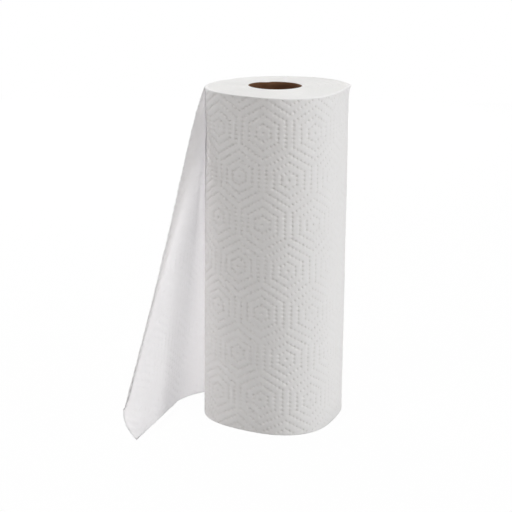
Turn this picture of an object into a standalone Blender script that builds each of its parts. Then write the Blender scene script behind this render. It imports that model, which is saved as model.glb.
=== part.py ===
"""A paper towel roll that stands on end, its outer sheet pulled loose on the left.

The paper is one web wound round a cardboard core. Its outer sheet leaves the back of the roll,
stands on its lower edge and swings round to the front. Its end is torn off on a slant, and the
torn edge is turned outwards in a narrow band, so the sheet closes like a tall half cone against
the roll.
Lengths are in metres. Angles run counter-clockwise from +X, as seen from above.
"""

import math

import bmesh
import bpy
import numpy as np
from mathutils import Vector

# The wound roll: height, mean radius and the uneven outline that soft winding gives it.
# Each lobe is its count round the roll, its share of the radius and its direction.
ROLL_HEIGHT = 0.279
ROLL_RADIUS = 0.0579
ROLL_LOBE_SHARES = (
    (2, 0.021, math.radians(46)),
    (3, 0.044, math.radians(50)),
    (4, 0.025, math.radians(20)),
)
RIM_ROUNDING = 0.0010

# The cardboard core, a little off the middle of the roll and a little out of round.
CORE_BORE_RADIUS = 0.0212
CORE_WALL = 0.0009
CORE_CLEARANCE = 0.0003
CORE_RECESS = 0.0006
CORE_OFFSET_X = -0.0034
CORE_OFFSET_Y = 0.0069
CORE_LOBE_SHARES = (
    (2, 0.014, math.radians(150)),
    (3, 0.012, math.radians(135)),
)

# The upper end of the core is pushed in on one side, and is true again this far down.
CORE_DENT_DEPTH = 0.0026
CORE_DENT_TOWARD = math.radians(110)
CORE_DENT_SPREAD = math.radians(13)
CORE_DENT_REACH = 0.050

# The turns that show on each end: flat lands between the lines of one spiral groove.
TURNS_SHOWN = 9
TURN_GROOVE_DEPTH = 0.0004
TURN_ROW_SHARES = (0, 0.22, 0.78)

# The loose sheet. Its lower edge leaves the roll along the tangent, sweeps away from it,
# turns at the knee and runs straight to the free corner.
SHEET_THICKNESS = 0.0005
SHEET_CLEARANCE = 0.0003
SHEET_EDGE_INSET = 0.0003
LEAVE_ANGLE = math.radians(73.8)
SWEEP_RUN = 0.0831
SWEEP_TURN = math.radians(47.7)
KNEE_RUN = 0.0368
KNEE_TURN = math.radians(41.6)
FREE_RUN = 0.0944
ROOT_RUN = 0.006
ROOT_DEPTH = 0.0015

# Its upper edge lies on the roll as far as this angle, where the slanting fold starts. The fold
# ends on the free edge, this far up from the lower corner and this far out of line with it.
HUG_END_ANGLE = math.radians(187)
FOLD_END_RISE = 0.024
FOLD_END_LEAN = 0.010
FREE_EDGE_BOW = 0.004
FREE_EDGE_BOW_REACH = 0.040

# Below the corner where the fold starts the sheet bends softly, over this much on each side at
# its foot and less further up.
CORNER_SOFT_REACH = 0.020

# The fold is a narrow facet between two creases, widest near its upper end. The paper past it
# is a flap as wide as a share of the facet's arc, which hangs behind it and ends in the tear.
FOLD_FACET_WIDTH = 0.0124
FOLD_LEAST_WIDTH = 0.0014
FOLD_CREST_SHARE = 0.16
FOLD_INNER_SHARE = 0.8
FOLD_BOW = 0.0014
FOLD_BULGE_SHARE = 0.3
FOLD_ARC_SHARE = 1.25
FLAP_WIDTH_SHARE = 0.9
FLAP_HEADING = math.radians(90)
FLAP_BEND_RADIUS = 0.10
FLAP_START_SHARE = 0.006
FLAP_END_SHARE = 0.965

# How finely each form is divided.
ROLL_COLUMNS = 64
RIM_STEPS = 3
DENT_STEPS = 5
HUG_STATIONS = 17
FOLD_STATIONS = 20
PANEL_ROWS = 8
FACET_ROWS = 5
FLAP_ROWS = 5
HUG_SAMPLES = 200
FOLD_STATION_POWER = 1.5
MERGE_DISTANCE_SHARE = 0.00001
SHARP_ANGLE = math.radians(35)

PAPER_COLOUR = (0.80, 0.79, 0.78, 1)
CARDBOARD_COLOUR = (0.28, 0.19, 0.12, 1)
PAPER_ROUGHNESS = 0.95
CARDBOARD_ROUGHNESS = 0.85


def lobed_radius(mean, lobe_shares, angle):
    """The radius of an uneven outline in the direction of the angle."""
    waves = sum(share * math.cos(count * (angle - toward)) for count, share, toward in lobe_shares)
    return mean * (1 + waves)


def roll_point(angle, outward=0):
    """A point on the roll's outline, or this far outside it."""
    radius = lobed_radius(ROLL_RADIUS, ROLL_LOBE_SHARES, angle) + outward
    return Vector((radius * math.cos(angle), radius * math.sin(angle)))


def core_point(angle, radius, dented=0):
    """A point on the core's outline at this mean radius, placed in the roll.

    Dented is the share of the dent's depth that the outline has.
    """
    from_dent = (angle - CORE_DENT_TOWARD + math.pi) % math.tau - math.pi
    dent = CORE_DENT_DEPTH * dented * math.exp(-(from_dent / CORE_DENT_SPREAD) ** 2)
    radius = lobed_radius(radius, CORE_LOBE_SHARES, angle) - dent
    around = Vector((radius * math.cos(angle), radius * math.sin(angle)))
    return around + Vector((CORE_OFFSET_X, CORE_OFFSET_Y))


def arc_point(start, heading, distance, bend):
    """The point this far along an arc whose heading turns by bend in each metre."""
    if bend == 0:
        return start + Vector((math.cos(heading), math.sin(heading))) * distance
    turned = heading + bend * distance
    across = Vector((math.sin(turned) - math.sin(heading), math.cos(heading) - math.cos(turned)))
    return start + across / bend


def dent_levels(top):
    """Heights up to this top and the share of the dent at each, from where the core is true."""
    levels = []
    for step in range(DENT_STEPS + 1):
        share = step / DENT_STEPS
        levels.append((top - CORE_DENT_REACH * (1 - share), share ** 2))
    return levels


def collection_for(name):
    collection = bpy.data.collections.new(name)
    bpy.context.scene.collection.children.link(collection)
    return collection


def material_for(name, colour, roughness):
    material = bpy.data.materials.new(name)
    material.use_nodes = True
    shader = material.node_tree.nodes["Principled BSDF"]
    shader.inputs["Base Color"].default_value = colour
    shader.inputs["Roughness"].default_value = roughness
    shader.inputs["Metallic"].default_value = 0
    return material


def object_from(mesh_data, name, collection, material):
    """Makes the bmesh an object, its faces turned outwards and shaded smooth."""
    bmesh.ops.recalc_face_normals(mesh_data, faces=mesh_data.faces)
    mesh = bpy.data.meshes.new(name)
    mesh_data.to_mesh(mesh)
    mesh_data.free()
    mesh.shade_smooth()
    mesh.set_sharp_from_angle(angle=SHARP_ANGLE)
    mesh.materials.append(material)
    obj = bpy.data.objects.new(name, mesh)
    collection.objects.link(obj)
    return obj


def wrapped_grid(columns, rows, place):
    """A grid whose columns go once round and whose last row meets its first.

    place(column, row) gives each point. Points that fall together are merged.
    """
    grid = bmesh.new()
    bmesh.ops.create_grid(grid, x_segments=columns, y_segments=rows, size=1)
    for vertex in grid.verts:
        column = round((vertex.co.x + 1) / 2 * columns)
        row = round((vertex.co.y + 1) / 2 * rows)
        vertex.co = place(column, row)
    bmesh.ops.remove_doubles(grid, verts=grid.verts, dist=ROLL_RADIUS * MERGE_DISTANCE_SHARE)
    return grid


def end_rows():
    """The rows across one end, from the core to the rim: turns out at angle zero, and depth.

    Rows go on for one turn past the rim, because each winds inwards by a turn as it goes round.
    """
    rows = []
    for turn in range(TURNS_SHOWN + 1):
        for share in TURN_ROW_SHARES:
            rows.append((turn + share, TURN_GROOVE_DEPTH if share == 0 else 0))
    rows.append((TURNS_SHOWN + 1, 0))
    return rows


def end_point(angle, turns_out, depth, dented):
    """A point on an end and how deep it lies below the end's flat lands."""
    share = (turns_out + angle / math.tau - 1) / TURNS_SHOWN
    share = min(max(share, 0), 1)
    bore = core_point(angle, CORE_BORE_RADIUS + CORE_WALL + CORE_CLEARANCE, dented)
    rim = roll_point(angle, -RIM_ROUNDING)
    return bore.lerp(rim, share), depth if 0 < share < 1 else 0


def roll_section(angle_of):
    """One function of the column for each row round the wound roll's section.

    The rows go out across the top, down the outside, in across the bottom and up the bore.
    """
    def on_end(turns_out, depth, top):
        def place(column):
            point, below = end_point(angle_of(column), turns_out, depth, 1 if top else 0)
            return Vector((*point, ROLL_HEIGHT - below if top else below))
        return place

    def on_rim(step, top):
        round_by = step / RIM_STEPS * math.pi / 2
        outward = RIM_ROUNDING * (math.sin(round_by) - 1)
        drop = RIM_ROUNDING * (1 - math.cos(round_by))

        def place(column):
            point = roll_point(angle_of(column), outward)
            return Vector((*point, ROLL_HEIGHT - drop if top else drop))
        return place

    def on_bore(height, dented):
        radius = CORE_BORE_RADIUS + CORE_WALL + CORE_CLEARANCE

        def place(column):
            return Vector((*core_point(angle_of(column), radius, dented), height))
        return place

    top = [on_end(turns_out, depth, True) for turns_out, depth in end_rows()]
    top += [on_rim(step, True) for step in range(1, RIM_STEPS + 1)]
    bottom = [on_end(turns_out, depth, False) for turns_out, depth in end_rows()]
    bottom += [on_rim(step, False) for step in range(1, RIM_STEPS + 1)]
    bore = [on_bore(height, dented) for height, dented in dent_levels(ROLL_HEIGHT)[:-1]]
    return top + bottom[::-1] + bore


def wound_roll(collection, material):
    """The wound turns, with the bore for the core and a spiral groove across each end."""
    def angle_of(column):
        return math.tau * column / ROLL_COLUMNS

    section = roll_section(angle_of)

    def place(column, row):
        return section[row % len(section)](column)

    grid = wrapped_grid(ROLL_COLUMNS, len(section), place)
    return object_from(grid, "towel_paper", collection, material)


def core_tube(collection, material):
    """The cardboard tube, whose ends stand back a little from the ends of the paper."""
    inner, outer = CORE_BORE_RADIUS, CORE_BORE_RADIUS + CORE_WALL
    levels = [(CORE_RECESS, 0)] + dent_levels(ROLL_HEIGHT - CORE_RECESS)
    section = [(inner, height, dented) for height, dented in levels]
    section += [(outer, height, dented) for height, dented in reversed(levels)]

    def place(column, row):
        radius, height, dented = section[row % len(section)]
        return Vector((*core_point(math.tau * column / ROLL_COLUMNS, radius, dented), height))

    grid = wrapped_grid(ROLL_COLUMNS, len(section), place)
    return object_from(grid, "core_tube", collection, material)


class LooseSheet:
    """The surface halfway through the loose sheet, by distance along the sheet from the roll."""

    def __init__(self):
        self.stand_off = SHEET_CLEARANCE + SHEET_THICKNESS / 2
        self.low = SHEET_EDGE_INSET
        self.high = ROLL_HEIGHT - SHEET_EDGE_INSET
        self.length = SWEEP_RUN + KNEE_RUN + FREE_RUN
        self.hug_angles = np.linspace(LEAVE_ANGLE, HUG_END_ANGLE, HUG_SAMPLES)
        hug = [roll_point(angle, self.stand_off) for angle in self.hug_angles]
        steps = [(b - a).length for a, b in zip(hug, hug[1:])]
        self.hug_distances = np.concatenate(([0], np.cumsum(steps)))
        self.hug_run = float(self.hug_distances[-1])
        self.out_heading = LEAVE_ANGLE + math.pi / 2 + SWEEP_TURN + KNEE_TURN - math.pi / 2
        outward = Vector((math.cos(self.out_heading), math.sin(self.out_heading), 0))
        self.fold_start = hug[-1].to_3d() + Vector((0, 0, self.high))
        corner = self.foot(self.length)
        self.fold_end = corner + outward * FOLD_END_LEAN + Vector((0, 0, FOLD_END_RISE))
        self.outward = outward
        self.flat_run = self.length - self.hug_run
        self.flat_rise = self.high - self.low - (self.fold_end - corner).length
        self.flat_fold = math.hypot(self.flat_run, self.flat_rise)

    def foot(self, distance):
        """The lower edge: the sweep, the knee and the free run."""
        start = roll_point(LEAVE_ANGLE, self.stand_off)
        heading = LEAVE_ANGLE + math.pi / 2
        for run, turn in ((SWEEP_RUN, SWEEP_TURN), (KNEE_RUN, KNEE_TURN)):
            if distance <= run:
                break
            start = arc_point(start, heading, run, turn / run)
            heading += turn
            distance -= run
        else:
            run, turn = FREE_RUN, 0
        return arc_point(start, heading, distance, turn / run).to_3d() + Vector((0, 0, self.low))

    def hug(self, distance):
        """The upper edge where it lies on the roll."""
        angle = float(np.interp(distance, self.hug_distances, self.hug_angles))
        return roll_point(angle, self.stand_off).to_3d() + Vector((0, 0, self.high))

    def facet_width(self, share):
        """How wide the folded facet is at this share of the fold's length."""
        swell = share / FOLD_CREST_SHARE * math.exp(1 - share / FOLD_CREST_SHARE)
        return FOLD_LEAST_WIDTH + (FOLD_FACET_WIDTH - FOLD_LEAST_WIDTH) * swell

    def creases(self, share):
        """The facet's inner crease, kept clear of the roll, and its outer crease."""
        line = self.fold_start.lerp(self.fold_end, share)
        fade = min(1, share / FLAP_START_SHARE, (1 - share) / (1 - FLAP_END_SHARE))
        across = Vector((self.facet_width(share) * fade, 0, 0))
        inner = line + across * FOLD_INNER_SHARE
        outer = line - across * (1 - FOLD_INNER_SHARE)
        outer.x += FOLD_BOW * math.sin(math.pi * share)
        least = roll_point(math.atan2(inner.y, inner.x), self.stand_off)
        if inner.to_2d().length < least.length:
            inner = Vector((*least, inner.z))
        outer.x = min(outer.x, inner.x - FOLD_LEAST_WIDTH * fade)
        return inner, outer

    def line_top(self, distance, share):
        """Where the line through a point leads, for a point this share of the way up the sheet.

        That is the sheet's edge on the roll, then the inner crease, with the corner between
        them rounded more and more towards the foot.
        """
        past = distance - self.hug_run
        reach = CORNER_SOFT_REACH * math.sqrt(1 - share)
        on_fold = (past + reach) ** 2 / reach / 4 if abs(past) < reach else max(past, 0)
        inner, _ = self.creases(min(on_fold / self.flat_run, 1))
        return self.hug(distance - on_fold) + inner - self.fold_start

    def flap_width(self, share, arc):
        """The paper left past the facet's arc, square to the fold, at this share of the fold.

        It is never more than a whole sheet would have between the fold and its two edges.
        """
        from_start = share * self.flat_fold * self.flat_rise / self.flat_run
        from_end = (1 - share) * self.flat_fold * self.flat_run / self.flat_rise
        whole = min(from_start, from_end) - arc
        return max(min(whole, FLAP_WIDTH_SHARE * arc), SHEET_THICKNESS)

    def panel_row(self, distance, bow=0):
        """Points up the standing sheet, bowed outwards by this much."""
        foot = self.foot(distance)
        rise = (self.line_top(distance, 1) - foot).z
        points = []
        for step in range(PANEL_ROWS + 1):
            share = step / PANEL_ROWS
            line = self.line_top(distance, share) - foot
            bowed = self.outward * bow * math.sin(math.pi * share)
            points.append(foot + line * (share * rise / line.z) + bowed)
        return points

    def folded_row(self, share):
        """Points across the facet and the flap, after the inner crease."""
        inner, outer = self.creases(share)
        wide = (outer - inner).length
        rest = self.flap_width(share, FOLD_ARC_SHARE * wide)
        along = (self.fold_end - self.fold_start).normalized()
        points = []
        for step in range(1, FACET_ROWS + 1):
            part = step / FACET_ROWS
            bulge = FOLD_BULGE_SHARE * wide * math.sin(math.pi * part)
            points.append(inner.lerp(outer, part) - Vector((0, bulge, 0)))
        for step in range(FLAP_ROWS):
            part = (step + 0.5) / FLAP_ROWS
            heading = FLAP_HEADING - rest * part / FLAP_BEND_RADIUS
            toward = Vector((math.cos(heading), math.sin(heading), 0))
            toward = (toward - along * toward.dot(along)).normalized()
            points.append(points[-1] + toward * rest / FLAP_ROWS)
        return points

    def rows(self):
        """The sheet's rows of points, from its root in the roll to its free edge."""
        root = roll_point(LEAVE_ANGLE - ROOT_RUN / ROLL_RADIUS, -ROOT_DEPTH).to_3d()
        heights = np.linspace(self.low, self.high, PANEL_ROWS + 1)
        rows = [[root + Vector((0, 0, height)) for height in heights]]
        for distance in np.linspace(0, self.hug_run, HUG_STATIONS)[:-1]:
            rows.append(self.panel_row(distance))
        corner_share = (self.flat_run / self.flat_fold) ** 2
        shares = {0, FLAP_START_SHARE, corner_share, FLAP_END_SHARE, 1}
        for step in range(1, FOLD_STATIONS):
            share = (step / FOLD_STATIONS) ** FOLD_STATION_POWER
            if FLAP_START_SHARE < share < FLAP_END_SHARE:
                shares.add(share)
        for share in sorted(shares):
            distance = self.hug_run + self.flat_run * share
            near_edge = 1 - (self.length - distance) / FREE_EDGE_BOW_REACH
            bow = FREE_EDGE_BOW * max(near_edge, 0) ** 2
            row = self.panel_row(distance, bow)
            if FLAP_START_SHARE <= share <= FLAP_END_SHARE:
                row += self.folded_row(share)
            rows.append(row)
        return rows


def loose_sheet(collection, material):
    """The loose sheet, lofted through its rows and given its thickness."""
    loft = bmesh.new()
    rows = [[loft.verts.new(point) for point in row] for row in LooseSheet().rows()]
    for row, following in zip(rows, rows[1:]):
        for step in range(min(len(row), len(following)) - 1):
            loft.faces.new((row[step], following[step], following[step + 1], row[step + 1]))
    sheet = object_from(loft, "loose_sheet", collection, material)
    thicken = sheet.modifiers.new("thickness", "SOLIDIFY")
    thicken.thickness = SHEET_THICKNESS
    thicken.offset = 0
    sheet.hide_render = True
    sheet.display_type = "WIRE"
    return sheet


def join_sheet(roll, sheet):
    union = roll.modifiers.new("loose sheet", "BOOLEAN")
    union.operation = "UNION"
    union.solver = "EXACT"
    union.object = sheet


def stand_on_origin(parts, helpers):
    """Hangs everything on one empty, with the middle of the base of the box at the origin."""
    bpy.context.view_layer.update()
    graph = bpy.context.evaluated_depsgraph_get()
    corners = np.array([corner for part in parts for corner in part.evaluated_get(graph).bound_box])
    middle = (corners.min(axis=0) + corners.max(axis=0)) / 2
    stand = bpy.data.objects.new("stand_point", None)
    parts[0].users_collection[0].objects.link(stand)
    stand.location = (-middle[0], -middle[1], -corners[:, 2].min())
    for obj in (*parts, *helpers):
        obj.parent = stand


def main():
    for obj in list(bpy.data.objects):
        bpy.data.objects.remove(obj, do_unlink=True)
    parts = collection_for("paper_towel_roll")
    helpers = collection_for("helpers")
    paper = material_for("towel_paper", PAPER_COLOUR, PAPER_ROUGHNESS)
    cardboard = material_for("core_cardboard", CARDBOARD_COLOUR, CARDBOARD_ROUGHNESS)
    roll = wound_roll(parts, paper)
    core = core_tube(parts, cardboard)
    sheet = loose_sheet(helpers, paper)
    join_sheet(roll, sheet)
    stand_on_origin((roll, core), (sheet,))


main()
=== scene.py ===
"""The looks of a paper towel roll that stands on end with its outer sheet pulled loose.

The paper is one embossed web. Its last full turn, the turns that show on the ends and the
loose sheet are three pieces, and the pattern of the web runs on from the turn to the sheet.
Lengths are in metres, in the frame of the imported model, unless a name says otherwise.
"""

import math

import bpy
import numpy as np
from mathutils import Matrix, Vector


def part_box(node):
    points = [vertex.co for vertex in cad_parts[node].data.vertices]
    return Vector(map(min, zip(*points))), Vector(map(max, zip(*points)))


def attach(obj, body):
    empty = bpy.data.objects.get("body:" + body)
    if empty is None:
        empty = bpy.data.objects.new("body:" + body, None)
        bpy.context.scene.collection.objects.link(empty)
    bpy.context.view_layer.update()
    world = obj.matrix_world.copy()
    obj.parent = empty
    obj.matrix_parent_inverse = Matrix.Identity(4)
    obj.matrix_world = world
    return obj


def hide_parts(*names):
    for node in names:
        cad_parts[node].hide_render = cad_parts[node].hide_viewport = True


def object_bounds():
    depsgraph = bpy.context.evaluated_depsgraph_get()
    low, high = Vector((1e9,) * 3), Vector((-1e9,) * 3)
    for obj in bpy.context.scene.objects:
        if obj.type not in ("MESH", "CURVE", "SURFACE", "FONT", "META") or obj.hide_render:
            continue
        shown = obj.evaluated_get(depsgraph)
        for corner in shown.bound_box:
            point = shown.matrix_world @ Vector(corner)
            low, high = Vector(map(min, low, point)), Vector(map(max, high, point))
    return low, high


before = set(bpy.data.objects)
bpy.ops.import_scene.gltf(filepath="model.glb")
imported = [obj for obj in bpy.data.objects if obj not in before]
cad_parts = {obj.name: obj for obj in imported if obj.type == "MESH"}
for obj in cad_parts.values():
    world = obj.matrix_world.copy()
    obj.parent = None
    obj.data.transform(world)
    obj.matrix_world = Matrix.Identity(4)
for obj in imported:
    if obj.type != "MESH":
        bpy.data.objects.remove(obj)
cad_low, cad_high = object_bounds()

# The roll's outline, as the solids have it: a mean radius, and lobes that each have a count,
# a share of the radius and a direction.
ROLL_RADIUS = 0.0579
ROLL_LOBES = (
    (2, 0.021, math.radians(46)),
    (3, 0.044, math.radians(50)),
    (4, 0.025, math.radians(20)),
)
RIM_ROUNDING = 0.0010

# The core, as the solids have it. The dent is in the back of its upper end.
CORE_BORE_RADIUS = 0.0212
CORE_WALL = 0.0009
CORE_END_ROUNDING = CORE_WALL / 3
CORE_RECESS = 0.0006
CORE_OFFSET = (-0.0034, 0.0069)
CORE_LOBES = (
    (2, 0.014, math.radians(150)),
    (3, 0.012, math.radians(135)),
)
CORE_DENT_DEPTH = 0.0026
CORE_DENT_TOWARD = math.radians(110)
CORE_DENT_SPREAD = math.radians(13)
CORE_DENT_REACH = 0.050

# The seam of the core's winding, a shallow groove inside the bore.
CORE_SEAM_PITCH = 0.105
CORE_SEAM_DEPTH = 0.00018
CORE_SEAM_WIDTH = 0.0012

# The core's mesh. Its outside has as many rows as the paper's bore, so that both follow the
# dent alike and neither cuts through the other.
CORE_COLUMNS = 128
CORE_INNER_ROWS = 96
BORE_ROWS = 48

# The loose sheet's lower edge, as the solids have it: a sweep off the roll, a tighter knee and
# a straight run to the free edge. The free edge bows outwards, most at half its height.
LEAVE_ANGLE = math.radians(73.8)
SWEEP_RUN = 0.0831
SWEEP_TURN = math.radians(47.7)
KNEE_RUN = 0.0368
KNEE_TURN = math.radians(41.6)
FREE_RUN = 0.0944
SHEET_EDGE_INSET = 0.0003
FREE_EDGE_BOW = 0.004
FREE_EDGE_BOW_REACH = 0.040

# Where its upper edge stops hugging the roll, and the fold that leads from there to a point
# above the foot of the free edge and a little beyond it, as the solids have them.
HUG_END_ANGLE = math.radians(187)
FOLD_END_RISE = 0.024
FOLD_END_LEAN = 0.010
# The corner between the two is softer than in the solids.
CORNER_SOFT_REACH = 0.045

# The narrow facet between the fold's two creases, widest near the roll.
FOLD_FACET_WIDTH = 0.0124
FOLD_LEAST_WIDTH = 0.0014
FOLD_CREST_SHARE = 0.16
FOLD_INNER_SHARE = 0.8
FOLD_BOW = 0.0014
FOLD_BULGE_SHARE = 0.3
FOLD_ARC_SHARE = 1.25
# The fold flattens the embossing this far to each side.
FOLD_FLATTENS = 0.0030

# The paper that is left behind the fold, up to the tear.
FLAP_HEADING = math.radians(90)
FLAP_BEND_RADIUS = 0.10
FLAP_START_SHARE = 0.006
FLAP_END_SHARE = 0.965
FLAP_WIDTH_SHARE = 0.9
TEAR_RAGGEDNESS = 0.0003
TEAR_WAVES_PER_METRE = (5200, 3110)

# The embossed towel, and how the sheet comes out of the last turn.
TOWEL_THICKNESS = 0.0005
TURN_GAP = 0.00005
ROOT_RUN = 0.006
ROOT_DEPTH = 0.0012

# The embossing: dots on a triangular lattice, kept where they lie on every second ring round
# the middle of a hexagon, whose corners are this many dots from its middle. The phase puts the
# hexagons where the photograph has them.
DOT_SPACING = 0.00352
DOT_DEPTH = 0.00066
DOT_RADIUS = 0.00120
TRIANGLE_HEIGHT = math.sqrt(3) / 2
HEXAGON_STEPS = 7
PATTERN_U = -0.1824
PATTERN_V = 0.1766
# No two dots are quite as deep: each has this share of the depth, and up to so much more.
DOT_LEAST_SHARE = 0.75
DOT_UNEVEN_SHARE = 0.5
DOT_SCATTER = (12.9898, 78.233, 437.585)
# How much of the dots shows on the sheet's inner side.
INNER_DOT_SHARE = 0.7
# The right of the roll shows hardly any dots, as if it had been pressed flat.
FLATTENED_TOWARD = math.radians(335)
FLATTENED_SPREAD = math.radians(42)
FLATTENED_SHARE = 0.7

# The web's mesh has a finer lattice than the dots. Its points within the reach of a dot's
# middle are drawn in to a share of their distance, and it keeps clear of the web's edges by a
# share of a step. The sheet's inner side is coarser.
STEPS_PER_DOT = 3
DOT_DRAW_REACH = 0.0014
DOT_DRAW_SHARE = 0.72
EDGE_CLEAR_SHARE = 0.3
INNER_COARSENESS = 2

# The soft swell of the winding: its height, the lengths of its waves along the web and up it,
# and how far the first wave sways.
SWELL_HEIGHT = 0.00018
SWELL_ALONG = (0.0113, 0.05)
SWELL_UP = (0.043, 0.031)
SWELL_SWAY = 2.1

# Where the cut edge of the last turn stands out: how far, toward which side, how wide and how
# far down. The first is the small ear at the right, the second a lip at the front left.
RIM_FLARES = (
    (0.0022, math.radians(12), math.radians(9), 0.0035),
    (0.0007, math.radians(235), math.radians(38), 0.005),
)
RIM_BENDS = np.array((math.pi / 6, math.pi / 3, math.pi / 2))

# The ends: how many turns are drawn, and the rows of each, by their share of the turn and how
# deep the groove between turns is there.
TURNS_DRAWN = 36
TURN_ROWS = ((0.0, 0.00032), (0.25, 0.0), (0.75, 0.0))
END_COLUMNS = 256
# The turns stand unevenly, in waves of a height, a rate and a phase along the spiral.
TURN_WAVES = ((0.00010, 2.3, 0.0), (0.00007, 5.1, 1.0))
TURN_SINK = 0.00010
END_SINK = 0.00012
# The turns also wander sideways, in lobes that shift from the core to the rim.
WANDER = 0.00022
WANDER_LOBES = 3
WANDER_SHIFT = 9
# The last turn is a tube this thick, and the ends reach a little way into its wall.
OUTER_WALL = 0.0022
END_TUCK = 0.0004

# How many points each line is worked out at before a mesh is laid along it.
CORE_OUTLINE_POINTS = 720
TURN_POINTS = 4001
SHEET_POINTS = 3001
HUG_POINTS = 400
TEAR_POINTS = 1001

# The step that the sheet's normals are worked out with, the distance within which points are
# merged, and two lengths that keep a division from zero.
NORMAL_STEP = 0.0006
MERGE_DISTANCE = 0.000002
LEAST_REACH = 1e-9
LEAST_ARC = 1e-6

# How many cells of each pattern a metre holds, along the web and up it: crepe ridges 0.53 mm
# apart that run 5 mm, tufts of fibre 0.38 mm across, and faint clouds 6 mm across.
CREPE_PER_METRE = (1900, 200, 1)
TUFTS_PER_METRE = 2600
CLOUDS_PER_METRE = 160
# The board's fibres lie 0.7 mm apart up the tube and run 4.5 mm round it.
BOARD_FIBRES_PER_METRE = (220, 220, 1400)
# The cut plies give streaks, so many round the core and so many across the mesh of the ends,
# which makes them 3 to 9 mm long and 0.1 to 0.2 mm wide.
PLY_STREAKS = (40, 700, 1)

TISSUE_ROUGHNESS = 1.0
TISSUE_SPECULAR = 0.2
BOARD_ROUGHNESS = 0.85
BOARD_SPECULAR = 0.5
# How much of the light each face of the single sheet lets through instead of sending it back.
SHEET_PASSES = 0.65

# The lamps: bearing and height in degrees, distance and width in metres, watts and colour.
# Bearing 0 is in front of the roll and 90 to its right.
LAMPS = (
    ("key", 65, 18, 1.6, 0.5, 10.4, "#FFFFFF"),
    ("high_left", -40, 55, 1.6, 0.5, 7.2, "#FFFAF5"),
    ("right", 110, 12, 1.6, 0.9, 1.3, "#FFFFFF"),
    ("back", 180, 12, 1.6, 0.9, 9.5, "#FFFAF4"),
    ("back_left", -150, 12, 1.6, 0.9, 14.0, "#FDFAFB"),
    ("left", -110, 12, 1.6, 0.9, 2.6, "#F3F7FF"),
    ("top", 0, 88, 1.6, 1.2, 11.0, "#F9FCFF"),
)
WORLD_STRENGTH = 0.06
WHITE = (1, 1, 1, 1)

# The floor, and how much of what the camera sees of it is plain white. The rest keeps the shadow.
FLOOR_SIZE = 3.2
FLOOR_WHITE_SHARE = 0.98

# The camera, matched to the rim, the base and the sides of the roll in the photograph.
SENSOR_WIDTH_MM = 36.0
CAMERA_LENS_MM = 120.4
CAMERA_NEAR_LIMIT = 0.05
CAMERA_PLACE = (0.015347, -1.373716, 0.4982)
CAMERA_PITCH = math.radians(14.69)
CAMERA_ROLL = math.radians(0.555)


def linear_colour(hex_code):
    """The linear RGBA of an sRGB hex colour."""
    shares = [int(hex_code[start:start + 2], 16) / 255 for start in (1, 3, 5)]
    linear = [s / 12.92 if s <= 0.04045 else ((s + 0.055) / 1.055) ** 2.4 for s in shares]
    return (*linear, 1.0)


def add_node(tree, kind, inputs=None, **settings):
    """Adds a node with its settings. An input takes a value, or the socket that feeds it."""
    node = tree.nodes.new(kind)
    for name, value in settings.items():
        setattr(node, name, value)
    for name, value in (inputs or {}).items():
        if isinstance(value, bpy.types.NodeSocket):
            tree.links.new(value, node.inputs[name])
        else:
            node.inputs[name].default_value = value
    return node


def new_material(name):
    """A material with only its output and a Principled shader, and that shader."""
    material = bpy.data.materials.new(name)
    material.use_nodes = True
    tree = material.node_tree
    tree.nodes.clear()
    shader = add_node(tree, "ShaderNodeBsdfPrincipled")
    add_node(tree, "ShaderNodeOutputMaterial", {"Surface": shader.outputs["BSDF"]})
    return material, tree, shader


def set_surface(tree, shader, colour, normal, roughness, specular):
    """Feeds the shader its colour and its relief, and sets how dull it is."""
    tree.links.new(colour, shader.inputs["Base Color"])
    tree.links.new(normal, shader.inputs["Normal"])
    shader.inputs["Roughness"].default_value = roughness
    shader.inputs["Specular IOR Level"].default_value = specular


# Outlines and places in the roll's own plan, whose middle is the roll's axis.


def nearness(angle, toward, spread):
    """One in this direction, falling away on both sides of it."""
    off = (angle - toward + math.pi) % math.tau - math.pi
    return np.exp(-(off / spread) ** 2)


def lobed_radius(mean, lobes, angle):
    """The radius of an uneven outline in the direction of each angle."""
    return mean * (1 + sum(share * np.cos(count * (angle - toward)) for count, share, toward in lobes))


def in_plan(radius, angle):
    """Points at this distance from the axis in each direction."""
    return np.stack((radius * np.cos(angle), radius * np.sin(angle)), axis=-1)


def roll_plan(angle, outward=0.0):
    """Points on the roll's outline, or this far outside it."""
    return in_plan(lobed_radius(ROLL_RADIUS, ROLL_LOBES, angle) + outward, angle)


def dent(angle, height):
    """How far the core is pushed in at its upper end."""
    down = np.clip((roll_height - height) / CORE_DENT_REACH, 0, 1)
    return CORE_DENT_DEPTH * nearness(angle, CORE_DENT_TOWARD, CORE_DENT_SPREAD) * (1 - down) ** 2


def core_plan(angle, radius, height):
    """Points on the core's outline at this mean radius and height."""
    around = in_plan(lobed_radius(radius, CORE_LOBES, angle) - dent(angle, height), angle)
    return around + np.array(CORE_OFFSET)


def roll_axis_in_frame():
    """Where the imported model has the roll's axis, from where it has the core."""
    low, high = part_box("core_tube")
    angles = np.linspace(0, math.tau, CORE_OUTLINE_POINTS)
    outer = lobed_radius(CORE_BORE_RADIUS + CORE_WALL, CORE_LOBES, angles)
    outline = in_plan(outer, angles) + np.array(CORE_OFFSET)
    middle = (outline.min(axis=0) + outline.max(axis=0)) / 2
    return np.array([(low[0] + high[0]) / 2, (low[1] + high[1]) / 2]) - middle


roll_height = cad_high.z - cad_low.z
roll_axis = roll_axis_in_frame()


def in_frame(plan, height):
    """Points of the roll's plan at these heights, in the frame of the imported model."""
    height = np.broadcast_to(height, plan.shape[:-1])
    return np.concatenate((plan + roll_axis, height[..., None]), axis=-1)


def distances_along(points):
    """How far along a line each of its points lies."""
    steps = np.linalg.norm(np.diff(points, axis=0), axis=1)
    return np.concatenate(([0], np.cumsum(steps)))


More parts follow.
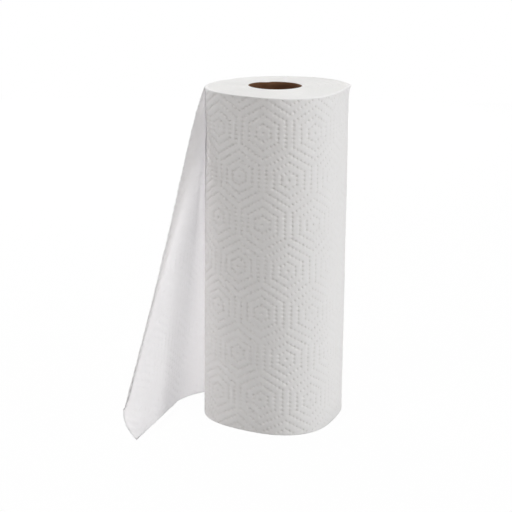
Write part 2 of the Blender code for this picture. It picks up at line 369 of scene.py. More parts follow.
# The web: u is the distance along it, zero where the sheet leaves the roll, and v the height.

TURN_ANGLES = np.linspace(LEAVE_ANGLE, LEAVE_ANGLE + math.tau, TURN_POINTS)
TURN_DISTANCES = distances_along(roll_plan(TURN_ANGLES))
TURN_LENGTH = float(TURN_DISTANCES[-1])


def turn_angle(u):
    """The direction from the axis of a point of the last full turn."""
    return np.interp(u + TURN_LENGTH, TURN_DISTANCES, TURN_ANGLES)


def hex_round(first, second):
    """The nearest point of a triangular lattice whose two axes are 60 degrees apart."""
    third = -first - second
    whole = [np.round(first), np.round(second), np.round(third)]
    off = [abs(whole[0] - first), abs(whole[1] - second), abs(whole[2] - third)]
    fix_first = (off[0] > off[1]) & (off[0] > off[2])
    fix_second = ~fix_first & (off[1] > off[2])
    return (
        np.where(fix_first, -whole[1] - whole[2], whole[0]),
        np.where(fix_second, -whole[0] - whole[2], whole[1]),
    )


def hexagon_ring(i, j):
    """How many dots each dot is from the middle of its hexagon."""
    across = 3 * HEXAGON_STEPS
    p, q = hex_round((i - j) / across, (i + 2 * j) / across)
    i_in = i - HEXAGON_STEPS * (2 * p + q)
    j_in = j - HEXAGON_STEPS * (q - p)
    return np.maximum(np.maximum(abs(i_in), abs(j_in)), abs(i_in + j_in))


def dot_share(i, j):
    """Each dot's own share of the full depth, the same in every run."""
    wave = abs(np.sin(i * DOT_SCATTER[0] + j * DOT_SCATTER[1])) * DOT_SCATTER[2]
    return DOT_LEAST_SHARE + DOT_UNEVEN_SHARE * np.modf(wave)[0]


def embossed(u, v):
    """Draws the points next to each dot in towards it, and gives how deep each is pressed.

    The first and last point are the web's edges, and stay in their place.
    """
    across = (u - PATTERN_U) / (DOT_SPACING * TRIANGLE_HEIGHT)
    up = (v - PATTERN_V) / DOT_SPACING - across / 2
    i, j = hex_round(across, up)
    on_ring = hexagon_ring(i, j) % 2 == 0
    off_u = (across - i) * DOT_SPACING * TRIANGLE_HEIGHT
    off_v = (up - j + (across - i) / 2) * DOT_SPACING
    away = np.hypot(off_u, off_v)
    pull = np.where(on_ring & (away < DOT_DRAW_REACH), 1 - DOT_DRAW_SHARE, 0)
    shape = np.clip(1 - (away * (1 - pull) / DOT_RADIUS) ** 2, 0, 1) ** 2
    depth = np.where(on_ring, DOT_DEPTH * shape * dot_share(i, j), 0)
    pull[[0, -1]] = 0
    return u - off_u * pull, v - off_v * pull, depth


def depth_left_round_roll(angle):
    """The share of the embossing's depth that is left in each direction from the axis."""
    return 1 - FLATTENED_SHARE * nearness(angle, FLATTENED_TOWARD, FLATTENED_SPREAD)


def lattice_columns(low, high):
    """The u of each column of the web's mesh between two edges, and whether it is a raised one."""
    step = DOT_SPACING / STEPS_PER_DOT * TRIANGLE_HEIGHT
    first = math.ceil((low - PATTERN_U) / step + EDGE_CLEAR_SHARE)
    last = math.floor((high - PATTERN_U) / step - EDGE_CLEAR_SHARE)
    columns = [(low, (first - 1) % 2)]
    columns += [(PATTERN_U + index * step, index % 2) for index in range(first, last + 1)]
    return columns + [(high, (last + 1) % 2)]


def lattice_rows(low, high, raised, coarseness=1):
    """The v of each point of one column between two edges."""
    step = DOT_SPACING / STEPS_PER_DOT * coarseness
    start = PATTERN_V + raised * step / 2
    first = math.ceil((low - start) / step + EDGE_CLEAR_SHARE)
    last = math.floor((high - start) / step - EDGE_CLEAR_SHARE)
    return np.concatenate(([low], start + step * np.arange(first, last + 1), [high]))


class WebMesh:
    """Points, the web's own coordinates for each, and the triangles between chains of them."""

    def __init__(self):
        self.points = []
        self.web = []
        self.pressed = []
        self.faces = []
        self.smooth = []
        self.count = 0

    def chain(self, points, web, depth):
        """Adds a row of points and gives their indices."""
        self.points.append(points)
        self.web.append(web)
        self.pressed.append(depth / DOT_DEPTH)
        self.count += len(points)
        return range(self.count - len(points), self.count)

    def add_face(self, face, smooth=True):
        """Adds one triangle, shaded smooth or, along a thin edge, flat."""
        self.faces.append(face)
        self.smooth.append(smooth)

    def fill_between(self, first, second, first_along, second_along, turned=False, smooth=True):
        """Fills the strip between two chains, by where each point lies along them."""
        i, j = 0, 0
        while i < len(first) - 1 or j < len(second) - 1:
            ends_first = i == len(first) - 1
            ends_second = j == len(second) - 1
            if ends_second or (not ends_first and first_along[i + 1] <= second_along[j + 1]):
                face = (first[i], second[j], first[i + 1])
                i += 1
            else:
                face = (first[i], second[j], second[j + 1])
                j += 1
            self.add_face(face[::-1] if turned else face, smooth)

    def make(self, name, material):
        """The mesh's object, with its web coordinates and how far each point is pressed in."""
        mesh = bpy.data.meshes.new(name)
        mesh.from_pydata(np.concatenate(self.points), [], self.faces)
        web = np.concatenate(self.web)
        corners = np.empty(len(mesh.loops), dtype=np.int64)
        mesh.loops.foreach_get("vertex_index", corners)
        layer = mesh.uv_layers.new(name="web")
        layer.data.foreach_set("uv", web[corners].astype(np.float32).ravel())
        pressed = mesh.attributes.new("pressed", "FLOAT", "POINT")
        pressed.data.foreach_set("value", np.concatenate(self.pressed).astype(np.float32))
        mesh.polygons.foreach_set("use_smooth", self.smooth)
        mesh.materials.append(material)
        obj = bpy.data.objects.new(name, mesh)
        bpy.context.scene.collection.objects.link(obj)
        return obj


def slow_swell(u, v):
    """The soft unevenness of the winding."""
    first = np.sin(u / SWELL_ALONG[0] + SWELL_SWAY * np.sin(v / SWELL_UP[0]))
    second = np.sin(v / SWELL_UP[1] + u / SWELL_ALONG[1])
    return SWELL_HEIGHT * first * second


def rim_flare(angle, depth):
    """How far the cut edge of the last turn stands out, this far down from the rim."""
    return sum(
        reach * nearness(angle, toward, spread) * np.exp(-depth / down)
        for reach, toward, spread, down in RIM_FLARES
    )


def outer_turn(material):
    """The last full turn: a tube whose outside carries the embossing, rounded at its rims."""
    web = WebMesh()
    low, high = RIM_ROUNDING, roll_height - RIM_ROUNDING
    rim = RIM_ROUNDING * (np.cos(RIM_BENDS) - 1)
    rise = RIM_ROUNDING * np.sin(RIM_BENDS)
    bent = RIM_ROUNDING * RIM_BENDS
    rim_points = len(RIM_BENDS) + 1
    chains = []
    for u, raised in lattice_columns(-TURN_LENGTH, 0):
        v = lattice_rows(low, high, raised)
        drawn_u, drawn_v, dots = embossed(np.full(len(v), u), v)
        dots = dots * depth_left_round_roll(turn_angle(u))
        side = slow_swell(u, v) - dots
        side[[0, -1]] = 0
        dots[[0, -1]] = 0
        drawn_u = np.pad(drawn_u, rim_points, mode="edge")
        angle = turn_angle(drawn_u)
        outward = np.concatenate(([-OUTER_WALL], rim[::-1], side, rim, [-OUTER_WALL]))
        height = np.concatenate(([0], low - rise[::-1], drawn_v, high + rise, [roll_height]))
        along = np.concatenate(
            ([-RIM_ROUNDING], low - bent[::-1], v, high + bent, [roll_height + RIM_ROUNDING])
        )
        # The turn is a spiral, and starts a sheet's thickness further in than it ends.
        within = TOWEL_THICKNESS * -drawn_u / TURN_LENGTH
        outward = outward - within + rim_flare(angle, roll_height - height)
        points = in_frame(roll_plan(angle, outward), height)
        chain = web.chain(points, np.stack((drawn_u, along), axis=-1), np.pad(dots, rim_points))
        chains.append((chain, along))
    for (first, first_along), (second, second_along) in zip(chains, chains[1:] + chains[:1]):
        web.fill_between(first, second, first_along, second_along)
        web.add_face((first[-1], second[-1], second[0]))
        web.add_face((first[-1], second[0], first[0]))
    return web.make("outer_turn", material)


class SheetSurface:
    """The surface halfway through the loose sheet, by the web's own u and v.

    Its lines lead from the lower edge straight up to the roll's rim and, past the place where
    the sheet comes away from the rim, to the fold. There the paper turns outwards in a narrow
    facet, and what is left of it up to the tear hangs behind.
    """

    def __init__(self):
        self.low = SHEET_EDGE_INSET
        self.high = roll_height - SHEET_EDGE_INSET
        self.length = SWEEP_RUN + KNEE_RUN + FREE_RUN
        self.steps = np.linspace(0, self.length, SHEET_POINTS)
        self.foot_points = self.lower_edge()
        self.hug_points = self.hugging_edge()
        self.hug_distances = distances_along(self.hug_points)
        self.hug_run = float(self.hug_distances[-1])
        out_heading = LEAVE_ANGLE + SWEEP_TURN + KNEE_TURN
        self.outward = np.array((math.cos(out_heading), math.sin(out_heading), 0))
        self.fold_start = np.array((*self.hug_points[-1], self.high))
        corner = self.foot(self.length)
        self.fold_end = corner + self.outward * FOLD_END_LEAN + np.array((0, 0, FOLD_END_RISE))
        fold = self.fold_end - self.fold_start
        self.along = fold / np.linalg.norm(fold)
        # In the flat web the fold is the long side of a triangle with this run and this rise.
        self.flat_run = self.length - self.hug_run
        self.flat_rise = self.high - self.low - np.linalg.norm(self.fold_end - corner)
        self.flat_fold = math.hypot(self.flat_run, self.flat_rise)
        self.tear_u, self.tear_v = self.tear()
        tops = self.top(self.steps)
        self.area = float(np.sum((tops[1:] + tops[:-1]) / 2 * np.diff(self.steps)))

    @staticmethod
    def stand_off(turned):
        """How far outside the roll's outline the sheet lies on the turn beneath it."""
        return TOWEL_THICKNESS * (turned - 0.5) + TURN_GAP

    @staticmethod
    def edge_at(u, distances, points, height):
        """Points of an edge at these distances along it."""
        plan = [np.interp(u, distances, points[:, axis]) for axis in (0, 1)]
        return np.stack((*plan, np.full_like(plan[0], height)), axis=-1)

    def lower_edge(self):
        """The line of the lower edge in the roll's plan."""
        bend = np.clip(self.steps / SWEEP_RUN, 0, 1) * SWEEP_TURN
        bend += np.clip((self.steps - SWEEP_RUN) / KNEE_RUN, 0, 1) * KNEE_TURN
        heading = LEAVE_ANGLE + math.pi / 2 + bend
        middle = (heading[1:] + heading[:-1]) / 2
        moves = np.diff(self.steps)[:, None] * in_plan(1.0, middle)
        start = roll_plan(LEAVE_ANGLE, self.stand_off(0.0))
        return start + np.concatenate((np.zeros((1, 2)), np.cumsum(moves, axis=0)))

    def hugging_edge(self):
        """The line of the upper edge in the roll's plan, as far as it hugs the roll."""
        angles = np.linspace(LEAVE_ANGLE, HUG_END_ANGLE, HUG_POINTS)
        turned = (angles - LEAVE_ANGLE) / math.tau
        return roll_plan(angles, self.stand_off(turned))

    def foot(self, u):
        """Points of the lower edge."""
        return self.edge_at(u, self.steps, self.foot_points, self.low)

    def hug(self, u):
        """Points of the upper edge where it hugs the roll."""
        return self.edge_at(u, self.hug_distances, self.hug_points, self.high)

    def tear(self):
        """The torn edge, in the web's own u and v."""
        share = np.linspace(0, 1, TEAR_POINTS)
        inner, outer = self.creases(share)
        arc = FOLD_ARC_SHARE * np.linalg.norm(outer - inner, axis=-1)
        from_start = share * self.flat_fold * self.flat_rise / self.flat_run
        from_end = (1 - share) * self.flat_fold * self.flat_run / self.flat_rise
        whole = np.minimum(from_start, from_end)
        wide = np.minimum(whole, (1 + FLAP_WIDTH_SHARE) * arc)
        u = self.hug_run + share * self.flat_run + wide * self.flat_rise / self.flat_fold
        v = self.high - share * self.flat_rise + wide * self.flat_run / self.flat_fold
        return np.maximum.accumulate(u), v

    def top(self, u):
        """How high the sheet is in the flat: cut level as far as the fold, then torn."""
        torn = np.interp(u, self.tear_u, self.tear_v)
        from_fold = np.clip((u - self.hug_run) / ROOT_RUN, 0, 1)
        from_end = np.clip((self.length - u) / ROOT_RUN, 0, 1)
        first, second = TEAR_WAVES_PER_METRE
        ragged = TEAR_RAGGEDNESS * (from_fold * from_end) * (np.sin(u * first) + np.sin(u * second + 1) - 1)
        return np.where(u > self.hug_run, np.minimum(torn + ragged, self.high), self.high) - self.low

    def past_fold(self, u, v):
        """How far a point of the flat web lies past the fold, less than zero before it."""
        return ((u - self.hug_run) * self.flat_rise + (v - self.high) * self.flat_run) / self.flat_fold

    def creases(self, share):
        """The two creases on either side of the folded facet."""
        share = np.asarray(share)[..., None]
        line = self.fold_start + (self.fold_end - self.fold_start) * share
        swell = share / FOLD_CREST_SHARE * np.exp(1 - share / FOLD_CREST_SHARE)
        fade = np.minimum(1, np.minimum(share / FLAP_START_SHARE, (1 - share) / (1 - FLAP_END_SHARE)))
        wide = (FOLD_LEAST_WIDTH + (FOLD_FACET_WIDTH - FOLD_LEAST_WIDTH) * swell) * fade
        to_right = np.array((1.0, 0, 0))
        inner = line + wide * FOLD_INNER_SHARE * to_right
        outer = line - wide * (1 - FOLD_INNER_SHARE) * to_right
        outer = outer + FOLD_BOW * np.sin(math.pi * share) * to_right
        turn = np.arctan2(inner[..., 1], inner[..., 0])
        least = roll_plan(turn, self.stand_off((turn - LEAVE_ANGLE) % math.tau / math.tau))
        inside = np.linalg.norm(inner[..., :2], axis=-1) < np.linalg.norm(least, axis=-1)
        inner[..., :2] = np.where(inside[..., None], least, inner[..., :2])
        outer[..., 0] = np.minimum(outer[..., 0], inner[..., 0] - FOLD_LEAST_WIDTH * fade[..., 0])
        return inner, outer

    def line_top(self, u, up):
        """Where the lines of the standing sheet lead: along the roll, then down the fold.

        The corner between the two is rounded more and more towards the foot of the sheet.
        """
        past = u - self.hug_run
        reach = np.maximum(CORNER_SOFT_REACH * np.sqrt(np.clip(1 - up, 0, 1)), LEAST_REACH)
        on_fold = np.where(abs(past) < reach, (past + reach) ** 2 / reach / 4, np.maximum(past, 0))
        inner = self.creases(np.clip(on_fold / self.flat_run, 0, 1))[0]
        return self.hug(u - on_fold) + inner - self.fold_start

    def standing(self, u, v):
        """The sheet below its fold: straight lines from the lower edge up to the roll or the fold."""
        share = np.clip((u - self.hug_run) / self.flat_run, 0, 1)
        up = np.clip((v - self.low) / (self.high - share * self.flat_rise - self.low), 0, None)
        foot = self.foot(u)
        line = self.line_top(u, up) - foot
        rise = ((v - self.low) / line[..., 2])[..., None]
        near_edge = np.clip(1 - (self.length - u) / FREE_EDGE_BOW_REACH, 0, None)
        bow = FREE_EDGE_BOW * near_edge ** 2 * np.sin(math.pi * up)
        return foot + line * rise + bow[..., None] * self.outward

    def folded(self, u, v):
        """The facet of the fold and the paper that hangs behind it."""
        # Each point has a place along the fold and a distance past it, both as in the flat web.
        run, rise = u - self.hug_run, v - self.high
        share = np.clip((run * self.flat_run - rise * self.flat_rise) / self.flat_fold ** 2, 0, 1)
        past = np.clip(self.past_fold(u, v), 0, None)[..., None]
        inner, outer = self.creases(share)
        wide = np.linalg.norm(outer - inner, axis=-1)[..., None]
        arc = np.maximum(FOLD_ARC_SHARE * wide, LEAST_ARC)
        part = np.clip(past / arc, 0, 1)
        facet = inner + (outer - inner) * part
        facet = facet - FOLD_BULGE_SHARE * wide * np.sin(math.pi * part) * np.array((0, 1.0, 0))
        rest = np.clip(past - arc, 0, None)
        heading = FLAP_HEADING - rest / 2 / FLAP_BEND_RADIUS
        toward = np.concatenate((np.cos(heading), np.sin(heading), np.zeros_like(heading)), axis=-1)
        toward = toward - (toward @ self.along)[..., None] * self.along
        toward = toward / np.linalg.norm(toward, axis=-1)[..., None]
        return facet + toward * rest

    def root(self, u, v):
        """The start of the sheet, which dips into the turn that it leaves."""
        before = np.clip(-u, 0, None)
        angle = turn_angle(np.clip(-before, -TURN_LENGTH, 0))
        outward = self.stand_off(0.0) - ROOT_DEPTH * (before / ROOT_RUN) ** 2
        return np.concatenate((roll_plan(angle, outward), v[..., None]), axis=-1)

    def depth_left_by_fold(self, u, v):
        """The share of the embossing's depth that is left next to the fold, which flattens it."""
        flattened = np.exp(-(self.past_fold(u, v) / FOLD_FLATTENS) ** 2)
        return np.where(u < self.hug_run, 1, 1 - flattened)

    def middle(self, u, v):
        """Points of the surface."""
        over = (self.past_fold(u, v) > 0) & (u > self.hug_run)
        points = np.where(over[..., None], self.folded(u, v), self.standing(u, v))
        return np.where((u < 0)[..., None], self.root(u, v), points)

    def normal(self, u, v):
        """The direction out of the side that carries the embossing."""
        along_u = self.middle(u + NORMAL_STEP, v) - self.middle(u - NORMAL_STEP, v)
        along_v = self.middle(u, v + NORMAL_STEP) - self.middle(u, v - NORMAL_STEP)
        out = np.cross(along_u, along_v)
        return out / np.linalg.norm(out, axis=-1)[..., None]

    def side(self, u, v, off):
        """Points this far off the surface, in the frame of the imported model."""
        points = self.middle(u, v) + self.normal(u, v) * np.asarray(off)[..., None]
        points[..., :2] += roll_axis
        return points


def loose_sheet(material):
    """The loose sheet: an embossed outer side, a smoother inner side and thin edges between."""
    surface = SheetSurface()
    web = WebMesh()
    columns = lattice_columns(-ROOT_RUN, surface.length)
    last = len(columns) - 1
    outer, inner = [], []
    for index, (u, raised) in enumerate(columns):
        top = surface.low + float(surface.top(np.array(u)))
        v = lattice_rows(surface.low, top, raised)
        flat = np.full(len(v), u)
        drawn_u, drawn_v, dots = embossed(flat, v)
        if index in (0, last):
            drawn_u, drawn_v = flat, v
        dots = dots * surface.depth_left_by_fold(drawn_u, drawn_v)
        points = surface.side(drawn_u, drawn_v, TOWEL_THICKNESS / 2 - dots)
        outer.append((web.chain(points, np.stack((drawn_u, drawn_v), axis=-1), dots), v, u))
        if index % INNER_COARSENESS == 0 or index == last:
            v = lattice_rows(surface.low, top, index // INNER_COARSENESS % 2, INNER_COARSENESS)
            flat = np.full(len(v), u)
            dots = INNER_DOT_SHARE * (embossed(flat, v)[2] * surface.depth_left_by_fold(flat, v))
            points = surface.side(flat, v, -TOWEL_THICKNESS / 2 - dots)
            inner.append((web.chain(points, np.stack((flat, v), axis=-1), -dots), v, u))
    for chains, turned in ((outer, False), (inner, True)):
        for (first, first_v, _), (second, second_v, _) in zip(chains, chains[1:]):
            web.fill_between(first, second, first_v, second_v, turned=turned)
    web.fill_between(inner[0][0], outer[0][0], inner[0][1], outer[0][1], smooth=False)
    web.fill_between(outer[-1][0], inner[-1][0], outer[-1][1], inner[-1][1], smooth=False)
    outer_u = [u for _, _, u in outer]
    inner_u = [u for _, _, u in inner]
    for end, turned in ((-1, True), (0, False)):
        outer_edge = [chain[end] for chain, _, _ in outer]
        inner_edge = [chain[end] for chain, _, _ in inner]
        web.fill_between(outer_edge, inner_edge, outer_u, inner_u, turned=turned, smooth=False)
    return web.make("loose_sheet", material), surface


def clear_selection():
    """Deselects everything, so that the next operator acts on nothing by mistake."""
    bpy.ops.object.select_all(action="DESELECT")


def wrapped_grid(name, columns, rows, place, material):
    """A grid rolled up so that its columns go once round and its last row meets its first.

    place takes the column and row of every point. Points that fall together are merged.
    """
    clear_selection()
    bpy.ops.mesh.primitive_grid_add(x_subdivisions=columns, y_subdivisions=rows, size=2, calc_uvs=True)
    obj = bpy.context.active_object
    obj.name = obj.data.name = name
    obj.data.uv_layers[0].name = "web"
    flat = np.empty(len(obj.data.vertices) * 3)
    obj.data.vertices.foreach_get("co", flat)
    flat = flat.reshape(-1, 3)
    column = np.round((flat[:, 0] + 1) / 2 * columns).astype(int)
    row = np.round((flat[:, 1] + 1) / 2 * rows).astype(int)
    obj.data.vertices.foreach_set("co", place(column, row).ravel())
    bpy.ops.object.mode_set(mode="EDIT")
    bpy.ops.mesh.select_all(action="SELECT")
    bpy.ops.mesh.remove_doubles(threshold=MERGE_DISTANCE)
    bpy.ops.mesh.normals_make_consistent(inside=False)
    bpy.ops.object.mode_set(mode="OBJECT")
    obj.data.shade_smooth()
    obj.data.materials.append(material)
    clear_selection()
    return obj


def turn_height(spiral):
    """How far each turn of the spiral stands above or below its neighbours."""
    waves = sum(height * np.sin(spiral * rate + phase) for height, rate, phase in TURN_WAVES)
    return waves - TURN_SINK


def turn_rows():
    """The rows across the drawn turns, counted in turns, and how deep each is sunk."""
    rows = [(turn + share, depth) for turn in range(TURNS_DRAWN + 1) for share, depth in TURN_ROWS]
    rows.append((TURNS_DRAWN + 1, 0))
    turns, depths = np.array(rows).T
    return turns, depths


def wound_turns(material):
    """The turns that show on both ends, in one closed ring with the bore.

    Its rows run out over the upper end, in over the lower end and up the bore.
    """
    turns, depths = turn_rows()
    count = len(turns)
    rows = count * 2 + BORE_ROWS

    def place(column, row):
        """Where each point of the grid goes."""
        row = row % rows
        top = row < count
        up_bore = np.clip((row - 2 * count + 1) / (BORE_ROWS + 1), 0, 1)
        step = np.where(top, row, np.clip(2 * count - 1 - row, 0, None))
        angle = math.tau * column / END_COLUMNS
        spiral = turns[step] + angle / math.tau - 1
        share = spiral / TURNS_DRAWN
        inside = (share > 0) & (share < 1)
        share = np.clip(share, 0, 1)
        height = roll_height * np.where(top, 1, up_bore)
        bore = core_plan(angle, CORE_BORE_RADIUS + CORE_WALL, height)
        rim = roll_plan(angle, END_TUCK - OUTER_WALL)
        wander = WANDER * np.sin(WANDER_LOBES * angle + WANDER_SHIFT * share) * np.sin(math.pi * share)
        plan = bore + (rim - bore) * share[:, None] + in_plan(wander, angle)
        below = END_SINK + np.where(inside, depths[step] - turn_height(spiral), 0)
        return in_frame(plan, np.where(top, roll_height - below, np.maximum(below, height)))

    return wrapped_grid("wound_turns", END_COLUMNS, rows, place, material)


def core_section():
    """The tube's wall as radii and heights, up its inside, over its end and down its outside."""
    low, high = CORE_RECESS, roll_height - CORE_RECESS
    inner = CORE_BORE_RADIUS
    outer = CORE_BORE_RADIUS + CORE_WALL
    foot, head = low + CORE_END_ROUNDING, high - CORE_END_ROUNDING
    section = [(inner, height) for height in np.linspace(foot, head, CORE_INNER_ROWS)]
    section += [(inner + CORE_END_ROUNDING, high), (outer - CORE_END_ROUNDING, high)]
    section += [(outer, height) for height in np.linspace(head, foot, BORE_ROWS)]
    section += [(outer - CORE_END_ROUNDING, low), (inner + CORE_END_ROUNDING, low)]
    radii, heights = np.array(section).T
    return radii, heights


def core_tube(material):
    """The cardboard tube, spirally wound, with the seam of its winding inside."""
    radii, heights = core_section()
    rows = len(radii)

    def place(column, row):
        """Where each point of the grid goes."""
        row = row % rows
        angle = math.tau * column / CORE_COLUMNS
        height = heights[row]
        around = (angle / math.tau - height / CORE_SEAM_PITCH) % 1
        from_seam = (around - 0.5) * math.tau * CORE_BORE_RADIUS
        seam = CORE_SEAM_DEPTH * np.exp(-(from_seam / CORE_SEAM_WIDTH) ** 2)
        radius = radii[row] + np.where(radii[row] == CORE_BORE_RADIUS, seam, 0)
        return in_frame(core_plan(angle, radius, height), height)

    return wrapped_grid("core_tube_wound", CORE_COLUMNS, rows, place, material)


def tissue_paper(name):
    """Embossed, creped tissue: dead matt and nearly white, with fine ridges up the roll."""
    material, tree, shader = new_material(name)
    web = add_node(tree, "ShaderNodeUVMap", uv_map="web").outputs["UV"]
    # Creping leaves fine ridges, and matted fibres a fuzz between them.
    crepe_place = add_node(tree, "ShaderNodeMapping", {"Vector": web, "Scale": CREPE_PER_METRE})
    crepe = add_node(
        tree, "ShaderNodeTexNoise",
        {"Vector": crepe_place.outputs["Vector"], "Scale": 1.0, "Detail": 2.0, "Roughness": 0.5},
    )
    fibre = add_node(
        tree, "ShaderNodeTexNoise",
        {"Vector": web, "Scale": TUFTS_PER_METRE, "Detail": 3.0, "Roughness": 0.6},
    )
    relief = add_node(
        tree, "ShaderNodeMath",
        {0: crepe.outputs["Fac"], 1: fibre.outputs["Fac"]}, operation="ADD",
    )
    bump = add_node(
        tree, "ShaderNodeBump",
        {"Height": relief.outputs["Value"], "Strength": 0.35, "Distance": 0.00012},
    )
    cloud = add_node(
        tree, "ShaderNodeTexNoise",
        {"Vector": web, "Scale": CLOUDS_PER_METRE, "Detail": 4.0, "Roughness": 0.55},
    )
    colour = add_node(
        tree, "ShaderNodeMix",
        {"Factor": cloud.outputs["Fac"], "A": linear_colour("#F0EFEE"), "B": linear_colour("#F6F5F5")},
        data_type="RGBA",
    )
    # The pressed dots are painted a shade darker than the fluff around them: partly the thin, hard pressed
    # paper, partly painted shade in the pits.
    pressed = add_node(tree, "ShaderNodeAttribute", attribute_name="pressed")
    dots_with_painted_pit_shade = add_node(
        tree, "ShaderNodeMix",
        {"Factor": pressed.outputs["Fac"], "A": colour.outputs["Result"], "B": linear_colour("#F0EEEC")},
        data_type="RGBA",
    )
    # The mesh rounds the walls of the dots off, so they are made steeper here.
    walls = add_node(
        tree, "ShaderNodeBump",
        {"Height": pressed.outputs["Fac"], "Normal": bump.outputs["Normal"], "Distance": DOT_DEPTH},
        invert=True,
    )
    set_surface(
        tree, shader, dots_with_painted_pit_shade.outputs["Result"], walls.outputs["Normal"],
        TISSUE_ROUGHNESS, TISSUE_SPECULAR,
    )
    return material, tree, shader


def single_sheet_tissue():
    """The same tissue where one sheet stands alone, so that daylight glows through it."""
    material, tree, shader = tissue_paper("single_creped_tissue_sheet")
    normal = shader.inputs["Normal"].links[0].from_socket
    glow = add_node(
        tree, "ShaderNodeBsdfTranslucent",
        {"Color": linear_colour("#F9F9FA"), "Normal": normal},
    )
    mixed = add_node(
        tree, "ShaderNodeMixShader",
        {"Fac": SHEET_PASSES, 1: shader.outputs["BSDF"], 2: glow.outputs["BSDF"]},
    )
    output = tree.nodes["Material Output"]
    tree.links.new(mixed.outputs["Shader"], output.inputs["Surface"])
    return material


def cut_tissue():
    """The sawn ends of the turns: fluffy, matt edges in fine lines round the core."""
    material, tree, shader = new_material("sawn_tissue_edges")
    web = add_node(tree, "ShaderNodeUVMap", uv_map="web").outputs["UV"]
    # The saw leaves the edges of the plies as fine streaks, some brighter than others.
    lines_place = add_node(tree, "ShaderNodeMapping", {"Vector": web, "Scale": PLY_STREAKS})
    lines = add_node(
        tree, "ShaderNodeTexNoise",
        {"Vector": lines_place.outputs["Vector"], "Scale": 1.0, "Detail": 3.0, "Roughness": 0.6},
    )
    bump = add_node(
        tree, "ShaderNodeBump",
        {"Height": lines.outputs["Fac"], "Strength": 0.4, "Distance": 0.0002},
    )
    colour = add_node(
        tree, "ShaderNodeMix",
        {"Factor": lines.outputs["Fac"], "A": linear_colour("#E9E8E6"), "B": linear_colour("#F6F6F5")},
        data_type="RGBA",
    )
    set_surface(
        tree, shader, colour.outputs["Result"], bump.outputs["Normal"],
        TISSUE_ROUGHNESS, TISSUE_SPECULAR,
    )
    return material


def kraft_board():
    """Spirally wound kraft board: brown and dull, with a grain of long fibres round the tube."""
    material, tree, shader = new_material("wound_kraft_board")
    place = add_node(tree, "ShaderNodeTexCoord").outputs["Object"]
    stretch = add_node(tree, "ShaderNodeMapping", {"Vector": place, "Scale": BOARD_FIBRES_PER_METRE})
    fibre = add_node(
        tree, "ShaderNodeTexNoise",
        {"Vector": stretch.outputs["Vector"], "Scale": 1.0, "Detail": 4.0, "Roughness": 0.65},
    )
    colour = add_node(
        tree, "ShaderNodeMix",
        {"Factor": fibre.outputs["Fac"], "A": linear_colour("#56341D"), "B": linear_colour("#7C5434")},
        data_type="RGBA",
    )
    bump = add_node(
        tree, "ShaderNodeBump",
        {"Height": fibre.outputs["Fac"], "Strength": 0.3, "Distance": 0.0001},
    )
    set_surface(
        tree, shader, colour.outputs["Result"], bump.outputs["Normal"],
        BOARD_ROUGHNESS, BOARD_SPECULAR,
    )
    return material


def stage_floor():
    """A white floor that the camera sees as white, with the roll's shadow kept faint."""
    clear_selection()
    bpy.ops.mesh.primitive_plane_add(size=FLOOR_SIZE, location=(0, 0, 0))
    floor = bpy.context.active_object
    floor.name = "studio_floor"
    material = bpy.data.materials.new("white_studio_floor")
    material.use_nodes = True
    tree = material.node_tree
    tree.nodes.clear()
    matt = add_node(tree, "ShaderNodeBsdfDiffuse", {"Color": linear_colour("#E8E8E8")})
    white = add_node(tree, "ShaderNodeEmission", {"Color": WHITE, "Strength": 1.0})
    seen = add_node(tree, "ShaderNodeLightPath")
    share = add_node(
        tree, "ShaderNodeMath",
        {0: seen.outputs["Is Camera Ray"], 1: FLOOR_WHITE_SHARE}, operation="MULTIPLY",
    )
    mixed = add_node(
        tree, "ShaderNodeMixShader",
        {"Fac": share.outputs["Value"], 1: matt.outputs["BSDF"], 2: white.outputs["Emission"]},
    )
    add_node(tree, "ShaderNodeOutputMaterial", {"Surface": mixed.outputs["Shader"]})
    floor.data.materials.append(material)
    clear_selection()


def studio_world():
    """Plain soft light from all round, seen as white by the camera."""
    world = bpy.data.worlds.new("studio")
    bpy.context.scene.world = world
    world.use_nodes = True
    tree = world.node_tree
    tree.nodes.clear()
    seen = add_node(tree, "ShaderNodeLightPath")
    soft = add_node(tree, "ShaderNodeBackground", {"Color": WHITE, "Strength": WORLD_STRENGTH})
    white = add_node(tree, "ShaderNodeBackground", {"Color": WHITE, "Strength": 1.0})
    mixed = add_node(
        tree, "ShaderNodeMixShader",
        {
            "Fac": seen.outputs["Is Camera Ray"],
            1: soft.outputs["Background"],
            2: white.outputs["Background"],
        },
    )
    add_node(tree, "ShaderNodeOutputWorld", {"Surface": mixed.outputs["Shader"]})


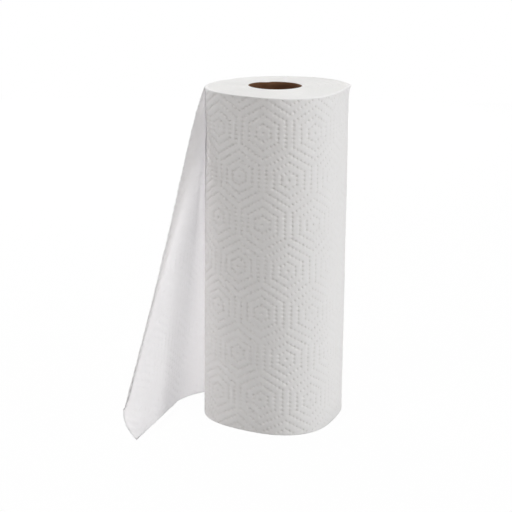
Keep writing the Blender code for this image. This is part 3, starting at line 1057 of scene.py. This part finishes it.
def studio_lamps():
    """Soft lamps round the roll, each turned to its middle."""
    middle = Vector((*roll_axis, roll_height / 2))
    for name, bearing, height, distance, width, watts, colour in LAMPS:
        lamp = bpy.data.lights.new(name, "AREA")
        lamp.shape = "DISK"
        lamp.size = width
        lamp.energy = watts
        lamp.color = linear_colour(colour)[:3]
        obj = bpy.data.objects.new(name, lamp)
        bpy.context.scene.collection.objects.link(obj)
        across, up = math.radians(bearing), math.radians(height)
        toward = Vector((math.sin(across) * math.cos(up), -math.cos(across) * math.cos(up), math.sin(up)))
        obj.location = middle + toward * distance
        obj.rotation_euler = toward.to_track_quat("Z", "Y").to_euler()


def photo_camera():
    """The photograph's camera, turned by its pitch and roll."""
    data = bpy.data.cameras.new("camera")
    data.sensor_width = SENSOR_WIDTH_MM
    data.lens = CAMERA_LENS_MM
    data.clip_start = CAMERA_NEAR_LIMIT
    obj = bpy.data.objects.new("camera", data)
    bpy.context.scene.collection.objects.link(obj)
    level_right = Vector((1, 0, 0))
    level_up = Vector((0, math.sin(CAMERA_PITCH), math.cos(CAMERA_PITCH)))
    back = Vector((0, -math.cos(CAMERA_PITCH), math.sin(CAMERA_PITCH)))
    right = level_right * math.cos(CAMERA_ROLL) + level_up * math.sin(CAMERA_ROLL)
    up = level_up * math.cos(CAMERA_ROLL) - level_right * math.sin(CAMERA_ROLL)
    turn = Matrix((right, up, back)).transposed()
    obj.matrix_world = Matrix.Translation(CAMERA_PLACE) @ turn.to_4x4()
    bpy.context.scene.camera = obj


def main():
    """Sets up the studio, builds the pieces, hangs each from the root body and hides the model's parts that
    they take the place of.
    """
    photo_camera()
    studio_world()
    studio_lamps()
    stage_floor()
    paper = tissue_paper("creped_tissue_paper")[0]
    single, sawn, board = single_sheet_tissue(), cut_tissue(), kraft_board()
    turn = outer_turn(paper)
    ends = wound_turns(sawn)
    sheet, surface = loose_sheet(single)
    core = core_tube(board)
    for piece in (turn, ends, sheet):
        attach(piece, "root")
        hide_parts("towel_paper")
    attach(core, "root")
    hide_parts("core_tube")
    bpy.context.scene.view_settings.view_transform = "Standard"


main()
